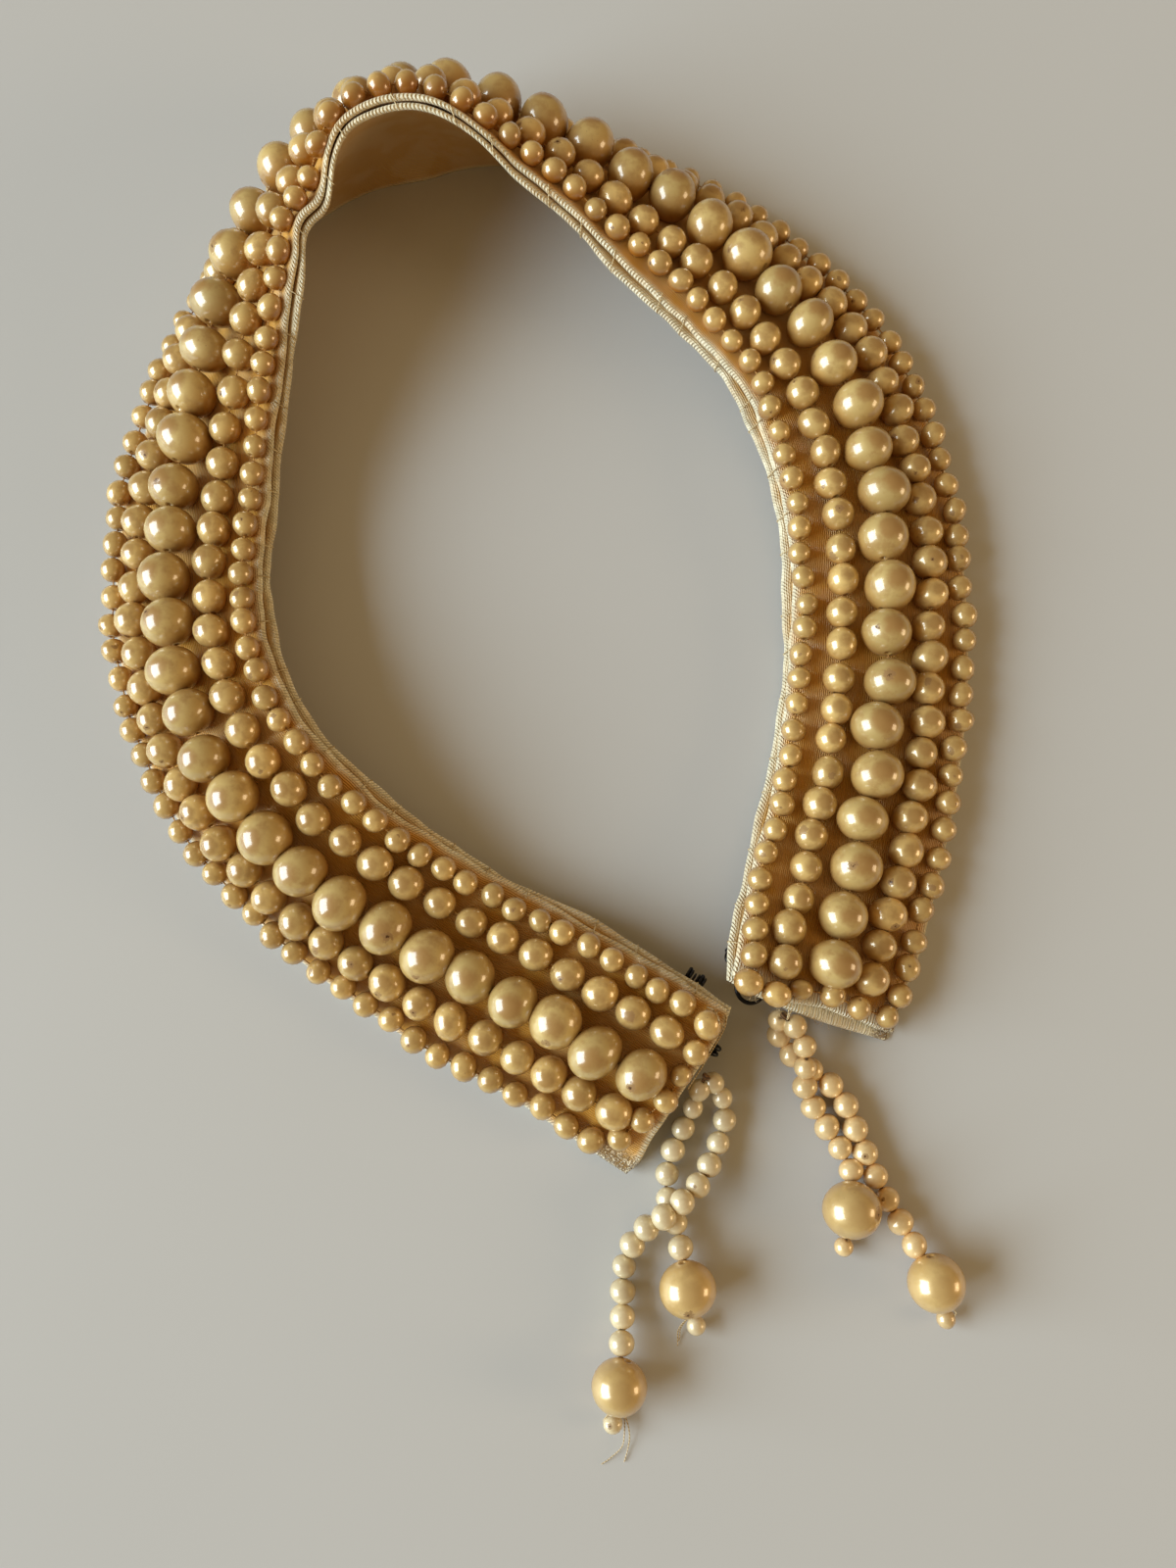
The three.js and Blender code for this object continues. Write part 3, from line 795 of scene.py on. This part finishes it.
# Each satin's second colour is the painted shade and reflected gold between the pearls, with a little ageing.
TOP_SATIN = dressed(
    "top_satin",
    SATIN,
    {"Cloth": hue(248, 238, 206), "Shade_And_Age": hue(234, 172, 74), "Length": TOP_LENGTH * MM},
    CLOTH_FEEDS,
    {"Sheen Weight": 0.25, "Sheen Roughness": 0.35, "Specular IOR Level": 0.55},
    CLOTH_BUMP,
)
LINING_SATIN = dressed(
    "lining_satin",
    SATIN,
    {"Cloth": hue(246, 236, 204), "Shade_And_Age": hue(206, 158, 84), "Length": CENTRE.total * MM},
    CLOTH_FEEDS,
    {"Sheen Weight": 0.2, "Sheen Roughness": 0.4, "Specular IOR Level": 0.5},
    CLOTH_BUMP,
)


def thread_material(name, colour, dark, rough):
    """Twisted thread: slanting ply lines over a slightly uneven colour."""
    made, tree, shader = new_material(name)
    where = object_place(tree)
    inputs = {"Vector": where, "Scale": 900, "Distortion": 1.5}
    ply = add(tree, "ShaderNodeTexWave", {"bands_direction": "DIAGONAL"}, inputs).outputs["Fac"]
    tree.links.new(mixed(tree, ramp(tree, ply, 0.2, 0.8), dark, colour), shader.inputs["Base Color"])
    shader.inputs["Roughness"].default_value = rough
    add_bump(tree, shader, ply, 0.5, 0.00008)
    return made


CREAM_THREAD = thread_material("cream_thread", hue(226, 208, 168), hue(176, 148, 100), 0.6)
BROWN_THREAD = thread_material("brown_thread", hue(120, 86, 48), hue(64, 42, 22), 0.65)
GOLDEN_THREAD = thread_material("golden_thread", hue(206, 158, 86), hue(150, 100, 44), 0.6)
BLACK_THREAD = thread_material("black_thread", hue(34, 32, 36), hue(12, 12, 16), 0.55)


def wire_material():
    """Black enamelled wire, its enamel rubbed a little on its bends."""
    made, tree, shader = new_material("black_wire_enamel")
    where = object_place(tree)
    wear = ramp(tree, noise_of(tree, where, 1400, 3), 0.62, 0.75)
    tree.links.new(mixed(tree, wear, hue(20, 20, 24), hue(92, 88, 86)), shader.inputs["Base Color"])
    tree.links.new(ramp(tree, wear, 0, 1, False, (0.28, 0.5)), shader.inputs["Roughness"])
    shader.inputs["Metallic"].default_value = 0.6
    return made


BLACK_WIRE = wire_material()

# The two satin sheets

top_cloth = cloth_wall("top_cloth", TOP_MIDDLE, TOP_THICK, TOP_LENGTH, top_relief, top_stray, TOP_RIGHT_REACH)
finish_piece(top_cloth, TOP_SATIN, ["band_top"])
lining = cloth_wall(
    "lining",
    LINING_THICK / 2,
    LINING_THICK,
    CENTRE.total,
    lambda s, a: humps(s, a, CREASES) * 0.7,
    lining_stray,
    LINING_RIGHT_REACH,
)
finish_piece(lining, LINING_SATIN, ["band_lining"])

# The pearls of the band


def row_beads(row):
    """The places and sizes of one row's pearls."""
    count = len(row["places"])
    length = row["places"].copy()
    length[1:-1] += dice.normal(0, 0.14, count - 2)
    small = row["row"] == "small"
    aside = row["stagger"] * (-1.0) ** np.arange(count) + dice.normal(0, 0.28 if small else 0.18, count)
    inside = row["at"] + table_at(length, DRIFTS[row["drift"]]) + aside
    return band_beads(length, inside, row["across"], row["along"], row["sink"])


def band_beads(length, inside, across, along, sink):
    count = len(length)
    _, run_on, _, outward, _ = band_frame(CENTRE.t_at(length))
    size = 1 + np.clip(dice.normal(0, 0.03, count), -0.06, 0.06)
    seat = TOP_OUTSIDE + across * size / 2 - sink + humps(length, inside, BUCKLES)
    return {
        "centre": band_place(length, inside, seat),
        "axis": run_on,
        "up": outward,
        "along": along * size * (1 + dice.normal(0, 0.02, count)),
        "across": across * size,
        "tone": np.clip(dice.normal(0.5, 0.24, count), 0, 1),
        "chip": np.where(dice.random(count) < 0.36, dice.uniform(0.1, 0.3, count), -1.0),
        "baroque": np.clip(dice.normal(0.35, 0.3, count), 0, 1.4),
    }


def joined(groups):
    return {key: np.concatenate([g[key] for g in groups]) for key in groups[0]}


MASTERS = {
    "large": pearl_master(28, 16, 0.05),
    "medium": pearl_master(16, 10, 0.06),
    "small": pearl_master(12, 8, 0.07),
}
OUT_OF_ROUND = {"large": 0.02, "medium": 0.03, "small": 0.035}
END_ROW_SINK = 0.45


def end_beads(places, from_left):
    """The small pearls across one end, the last of them lumpy."""
    inside, length, across, along = np.array(places, dtype=float).T
    if not from_left:
        length = CENTRE.total - length
    made = band_beads(length, inside, across, along, END_ROW_SINK)
    made["axis"] = band_frame(CENTRE.t_at(length))[2]
    made["baroque"][-1] = 1.3
    return made


rows = {"large": [], "medium": [], "small": []}
for row in PEARL_ROWS:
    rows[row["row"]].append(row_beads(row))
rows["small"] += [end_beads(LEFT_END_ROW, True), end_beads(RIGHT_END_ROW, False)]

for kind, groups in rows.items():
    piece = strung(f"{kind}_pearls", MASTERS[kind], joined(groups), OUT_OF_ROUND[kind])
    finish_piece(piece, LACQUER[f"{kind}_pearl"], ["band_top"])
thread_paths = [group["centre"] for groups in rows.values() for group in groups]
piece = rounded_tube("row_threads", thread_paths, 0.24, 4)
finish_piece(piece, GOLDEN_THREAD)

# The bead strands, two from one knot at each end

BEAD_PITCH = 3.6
BEADS_ACROSS = {"left": (3.25, 3.9), "right": (3.8, 4.0)}  # next to the knot, and farther on
DROP_PEARL = 8.6
STOP_BEAD = 3.0
DROP_TO_STOP = 6.6
KNOT = 2.4
STRANDS = [
    {
        "side": "left",
        "sewn_at": 20,
        "routes": [
            [(20, -48.4, 4), (21.3, -52, 2.3), (19.8, -57.4, 2.3), (16.6, -62.8, 4.4), (12.4, -66.2, 6.2),
             (8.4, -69.3, 4), (5.7, -73.8, 2.3), (5.2, -81.6, 2.3), (4.7, -90.3, 4.8), (3.7, -97, 2)],
            [(15.7, -52.6, 2.6), (13, -58, 2.3), (12, -63.4, 2.3), (13.5, -69, 2.3), (14.8, -77, 4.8),
             (16.3, -83.3, 2)],
        ],
    },
    {
        "side": "right",
        "sewn_at": 20.5,
        "routes": [
            [(32.6, -40, 6.2), (33.5, -43.6, 6.2), (33.4, -47.2, 3.6), (34.8, -51, 2.3), (38.2, -56.2, 2.3),
             (40.4, -60.8, 2.8), (39.8, -66.4, 4.8), (39, -72, 2)],
            [(29.6, -38.6, 4.4), (30.2, -41.2, 2.3), (33, -44.6, 2.3), (36.6, -46.9, 2.3), (39.8, -50.6, 2.3),
             (42, -56.4, 2.3), (45, -63.4, 2.3), (48.4, -69.6, 2.6), (51.8, -76, 4.8), (54, -82.3, 2)],
        ],
    },
]


def bead_set(centre, axis, across, along, tone=0.5):
    count = len(centre)
    size = 1 + np.clip(dice.normal(0, 0.04, count), -0.07, 0.04)
    return {
        "centre": centre,
        "axis": axis,
        "up": np.tile(UP, (count, 1)) + 1e-3,
        "along": along * size,
        "across": across * size,
        "tone": np.clip(dice.normal(tone, 0.2, count), 0, 1),
        "chip": np.where(dice.random(count) < 0.2, dice.uniform(0.12, 0.3, count), -1.0),
        "baroque": np.clip(dice.normal(0.3, 0.3, count), 0, 1),
    }


def strand_beads(strand):
    """Beads, drop pearls and thread lines of the two strands of one end."""
    out = SEAM_GAP + KNOT * 0.55
    length = -out if strand["side"] == "left" else CENTRE.total + out
    knot = band_place(np.array([length]), strand["sewn_at"], LINING_THICK)[0]
    beads, drops, threads = [], [], []
    for route in strand["routes"]:
        at, total = smooth_line([knot, *route])
        drop_at = total - DROP_TO_STOP
        last = drop_at - DROP_PEARL * 0.48
        count = int((last - KNOT / 2) // BEAD_PITCH)
        pitch = (last - KNOT / 2) / count
        where = KNOT / 2 + (np.arange(count) + 0.5) * pitch
        centre, axis = at(where), unit(at(where + 0.3) - at(where - 0.3))
        near, far = BEADS_ACROSS[strand["side"]]
        across = near + (far - near) * smooth_step(where, 3, 20)
        beads.append(bead_set(centre, axis, across, pitch * 1.02))
        drop_axis = unit(at(drop_at + 0.3) - at(drop_at - 0.3))
        drops.append(bead_set(at(drop_at)[None], drop_axis[None], DROP_PEARL, DROP_PEARL * 0.97, 0.7))
        stop_axis = unit(at(total) - at(total - 0.5))
        beads.append(bead_set(at(total)[None], stop_axis[None], STOP_BEAD, STOP_BEAD * 0.95))
        threads.append(at(np.linspace(0, total, int(total / 0.6))))
    return knot, joined(beads), joined(drops), threads


# Loose thread ends
TAILS = {
    "left": [
        [(4.2, -93.8, 3), (5.3, -95.8, 2), (5.4, -99, 1), (5.1, -100.6, 0.6), (3.2, -102.4, 0.3),
         (2, -103.2, 0.2)],
        [(4.4, -94, 3), (5.7, -96.4, 2), (6.2, -99.1, 1), (5.9, -101.2, 0.4), (5.4, -102.9, 0.2)],
        [(3.6, -94.4, 3.4), (2.8, -95.7, 2.7), (2.3, -96.8, 1.6), (3.1, -98.2, 0.6)],
        [(15.8, -81.2, 3), (15.3, -82, 2.3), (14.2, -83.1, 1.7), (13.6, -84.4, 1), (13.6, -85.5, 0.5),
         (13.6, -86.6, 0.3)],
        [(15.8, -81.2, 3), (14.8, -82.6, 1.9), (14, -84, 1.1), (13.9, -85.2, 0.5), (13.8, -85.9, 0.3)],
    ],
    "right": [
        [(54.6, -80.4, 3.6), (55.2, -81.2, 3.3), (55, -81.9, 2.7)],
    ],
}
STRAND_LOOKS = {"left": LACQUER["ivory_bead"], "right": LACQUER["golden_bead"]}
for strand in STRANDS:
    side = strand["side"]
    knot, beads, drops, threads = strand_beads(strand)
    node = f"bead_strands_{side}"
    piece = strung(f"strand_beads_{side}", MASTERS["medium"], beads, 0.02)
    finish_piece(piece, STRAND_LOOKS[side], [node])
    piece = strung(f"drop_pearls_{side}", MASTERS["large"], drops, 0.008)
    finish_piece(piece, LACQUER["drop_pearl"], [node])
    piece = rounded_tube(f"strand_threads_{side}", threads, 0.5, 6)
    finish_piece(piece, BROWN_THREAD, [node])
    ball = bead_set(np.array([knot, knot + [0.4, -0.3, -0.4]]), np.array([[1, 0, 0], [0, 1, 0.0]]), 1.0, 0.9)
    piece = strung(f"strand_knot_{side}", MASTERS["small"], ball, 0.12)
    finish_piece(piece, BROWN_THREAD, [node])
    tails = [evenly(route, 0.35, 8) for route in TAILS[side]]
    piece = rounded_tube(f"thread_tails_{side}", tails, 0.18, 4)
    finish_piece(piece, CREAM_THREAD)

# Hooks and eyes, bent from wire and sewn under the lining

WIRE = 0.8  # the solids' wire
BARE_WIRE = WIRE * 0.9  # the wire that shows
WIRE_GAP = 0.45
SEWING_RING = 1.2
HOOK_BEND = 1.7
HOOK_BILL = 3.2
HOOKS = [
    {"name": "hook_neck_edge", "edge": "neck", "middle": 7.2, "past": 1.1, "back": 2.4, "half": 1.1},
    {"name": "hook_end_edge", "edge": "left end", "middle": 23.4, "past": 1.8, "back": 3.2, "half": 0.5},
]
EYES = [
    {"name": "eye_corner", "edge": "right end", "middle": 26.1, "past": 1.6, "back": 4, "half": 2.3},
    {"name": "eye_under", "edge": "right end", "middle": 11, "past": -1.5, "back": 6.5, "half": 2.2},
]


def wire_place(wire):
    """Where a wire piece's own point lies: past its edge, aside along it, deeper under the lining."""

    def place(past, aside, deeper=0.0):
        up = -(WIRE_GAP + WIRE / 2) - deeper
        if wire["edge"] == "neck":
            return band_place(np.array([wire["middle"] + aside]), BAND_WIDTH + past, up)[0]
        length = -past if wire["edge"] == "left end" else CENTRE.total + past
        return band_place(np.array([length]), wire["middle"] + aside, up)[0]

    return place


def sewing_ring(place, back, half, hand):
    """The loop at one foot of a hook or an eye, where it is sewn down."""
    points = []
    for degrees in range(270, -1, -30):
        a = math.radians(degrees)
        aside = hand * (half + SEWING_RING * (1 - math.cos(a)))
        points.append(place(-back - SEWING_RING * math.sin(a), aside))
    return points


def hook_line(hook):
    place = wire_place(hook)

    def side_of(hand):
        half = hand * hook["half"]
        return [
            *sewing_ring(place, hook["back"], hook["half"], hand),
            place(hook["past"] - 0.9, half),
            place(hook["past"], half * 0.95, HOOK_BEND / 2),
            place(hook["past"] - 0.9, half * 0.9, HOOK_BEND),
            place(hook["past"] - HOOK_BILL, half * 0.8, HOOK_BEND),
        ]

    tip = place(hook["past"] - HOOK_BILL - 0.8, 0, HOOK_BEND)
    return [*side_of(-1), tip, *side_of(1)[::-1]]


def eye_line(eye):
    place = wire_place(eye)
    arc = []
    for degrees in range(-90, 91, 15):
        a = math.radians(degrees)
        arc.append(place(eye["past"] - eye["half"] * (1 - math.cos(a)), eye["half"] * math.sin(a)))
    left = sewing_ring(place, eye["back"], eye["half"], -1)
    right = sewing_ring(place, eye["back"], eye["half"], 1)
    return [*left, *arc, *right[::-1]]


def thread_ring(middle, axis, reach):
    side = unit(np.cross(axis, UP + 1e-3))
    top = np.cross(axis, side)
    a = np.linspace(0, 2 * np.pi, 13)[:-1]
    return middle + reach * (np.cos(a)[:, None] * side + np.sin(a)[:, None] * top)


def wound_rings(line, starts, turn=0.42, reach=0.56):
    """Sewing thread wound round a wire line, as rings side by side."""
    at, total = smooth_line(line)
    rings = []
    for start, count in starts:
        for k in range(count):
            length = start * total + k * turn
            rings.append(thread_ring(at(length), unit(at(length + 0.2) - at(length - 0.2)), reach))
    return rings


def bar_rings(wire, past, first, last, turn=0.56, reach=0.72):
    """Thread wound closely over a hook's bend, ring beside ring along its edge."""
    place = wire_place(wire)
    rings = []
    for k, aside in enumerate(np.arange(first, last, turn)):
        middle = place(past + 0.12 * math.sin(1.7 * k), aside, 0.3)
        axis = unit(place(past, aside + 0.3) - place(past, aside - 0.3))
        rings.append(thread_ring(middle, axis, reach + 0.06 * math.cos(2.9 * k)))
    return rings


rings = []
for wires, line_of, samples, sewn_at in (
    (HOOKS, hook_line, 150, [(0.13, 3), (0.85, 3)]),
    (EYES, eye_line, 130, [(0.12, 4), (0.85, 4)]),
):
    for wire in wires:
        line = line_of(wire)
        at, total = smooth_line(line)
        piece = rounded_tube(wire["name"] + "_wire", [at(np.linspace(0, total, samples))], BARE_WIRE, 8)
        finish_piece(piece, BLACK_WIRE, [wire["name"]])
        rings += wound_rings(line, sewn_at)
        if wire["edge"] == "neck":
            rings += bar_rings(wire, 0.4, -1.6, 1.6)
piece = rounded_tube("sewing_on_wires", rings, 0.3, 6, closed=True)
finish_piece(piece, BLACK_THREAD)

for master in MASTERS.values():
    bpy.data.objects.remove(master)

# Small sewing along the edges


def stitch_lines():
    """Stitches over the two folded neck edges, one every 9 mm or so."""
    lines = []
    for k, length in enumerate(np.arange(6, CENTRE.total - 4, 9.2)):
        s = np.array([length + 1.5 * math.sin(2.3 * k)])
        top, under = top_stray(s), lining_stray(s)
        fold = humps(s, BAND_WIDTH, BUCKLES)
        crest = BAND_WIDTH + np.array([top - 0.9, top - 0.2, top + 0.12, under + 0.12, under - 0.2])[:, 0]
        height = np.array([TOP_OUTSIDE - 0.12, TOP_OUTSIDE + 0.02, TOP_MIDDLE, LINING_THICK / 2, 0.05])
        slant = np.array([0, 0.15, 0.3, 0.5, 0.7])
        lines.append(band_place(s + slant, crest, height + fold))
    return lines


def frayed_ends():
    """Short fibres that stand off the cloth's ends."""
    lines = []
    for reach, total, up in (
        (TOP_RIGHT_REACH, TOP_LENGTH, TOP_MIDDLE),
        (LINING_RIGHT_REACH, CENTRE.total, LINING_THICK / 2),
    ):
        for inside in dice.uniform(1.5, 27, 16):
            start = total + table_at(inside, reach) - 0.1
            far = dice.uniform(0.4, 1.3)
            aside = dice.normal(0, 0.5, 2)
            bent = inside + aside[0] * np.array([0, 0.4, 1])
            risen = up + np.array([0, 0.15, aside[1] / 2])
            lines.append(band_place(start + far * np.array([0, 0.6, 1]), bent, risen))
    return lines


def edge_path(points):
    """A thread line given by length from the left end, distance in from the outer edge, and height."""
    s, inside, up = np.array(points, dtype=float).T
    return evenly(band_place(s, inside, up), 0.3, 6)


END = CENTRE.total
edge_threads = stitch_lines() + [
    edge_path([(0.4, 29.9, 2.6), (-0.3, 28.4, 2.4), (-0.5, 25, 1.9), (-0.5, 21, 1.7), (-0.4, 17, 1.7)]),
    edge_path([(3.6, 29.4, 2.8), (2.6, 29.9, 4.4), (1.2, 29.3, 5.4), (0.5, 28.3, 4.6), (0.2, 28.2, 2.8)]),
    edge_path([(1.9, 29.8, 2.9), (2.2, 29.4, 4.9), (3.1, 28.5, 5.7), (4.3, 27.7, 4.2)]),
    edge_path([(END - 1.6, 21.4, 2.9), (END - 0.3, 21.3, 3.1), (END + 0.9, 20.8, 2.6), (END + 2, 20.4, 2.2)]),
    edge_path([(END - 1.4, 20.6, 2.9), (END - 0.4, 20.5, 3), (END + 0.8, 20.3, 2.3), (END + 1.9, 20, 1.7)]),
    edge_path([(END - 2.8, 29.6, 3), (END - 1.4, 30.3, 4.2), (END - 0.1, 30, 4.4), (END + 0.6, 28.8, 3.2)]),
]
piece = rounded_tube("edge_stitches", edge_threads, 0.2, 4)
finish_piece(piece, CREAM_THREAD)
piece = rounded_tube("frayed_ends", frayed_ends(), 0.06, 4)
finish_piece(piece, CREAM_THREAD)

# The table, the light and the camera

clear_selection()
bpy.ops.mesh.primitive_plane_add(size=3, location=(0, 0, 0))
table = bpy.context.object
table.name = "table"
paint, tree, shader = new_material("table_paint")
where = object_place(tree)
cloud = noise_of(tree, where, 9, 3)
tree.links.new(mixed(tree, cloud, hue(200, 201, 201), hue(195, 196, 195)), shader.inputs["Base Color"])
shader.inputs["Roughness"].default_value = 0.5
shader.inputs["Specular IOR Level"].default_value = 0.25
table.data.materials.append(paint)


def lamp(name, place, aim, size, energy, colour):
    data = bpy.data.lights.new(name, "AREA")
    data.shape = "RECTANGLE"
    data.size, data.size_y = size
    data.energy = energy
    data.color = colour
    made = bpy.data.objects.new(name, data)
    bpy.context.scene.collection.objects.link(made)
    made.location = place
    way = np.array(aim, dtype=float) - np.array(place, dtype=float)
    flat = math.hypot(way[0], way[1])
    made.rotation_euler = (math.atan2(flat, -way[2]), 0, math.atan2(-way[0], way[1]))


lamp("window", (-3.0, -0.5, 1.5), (0, 0, 0.05), (2.9, 2.3), 189, (0.79, 0.925, 1.0))
lamp("lamp_right", (0.9, -0.16, 0.3), (0, 0, 0), (0.34, 0.3), 1.9, (1.0, 0.76, 0.46))

world = bpy.data.worlds.new("room")
bpy.context.scene.world = world
world.use_nodes = True
room = world.node_tree.nodes["Background"].inputs
room["Color"].default_value = (1.0, 0.67, 0.31, 1)
room["Strength"].default_value = 0.32

TILT = math.radians(10.1)  # of the camera, from straight down
AWAY = 0.1942  # metres to the table
camera_data = bpy.data.cameras.new("camera")
camera = bpy.data.objects.new("camera", camera_data)
bpy.context.scene.collection.objects.link(camera)
camera.location = (OFFSET[0] * MM, OFFSET[1] * MM - AWAY * math.sin(TILT), AWAY * math.cos(TILT))
camera.rotation_euler = (TILT, 0, 0)
camera_data.sensor_fit = "VERTICAL"
camera_data.sensor_height = 36
camera_data.lens = 27.05
camera_data.clip_start = 0.01
bpy.context.scene.camera = camera
bpy.context.scene.view_settings.view_transform = "Standard"
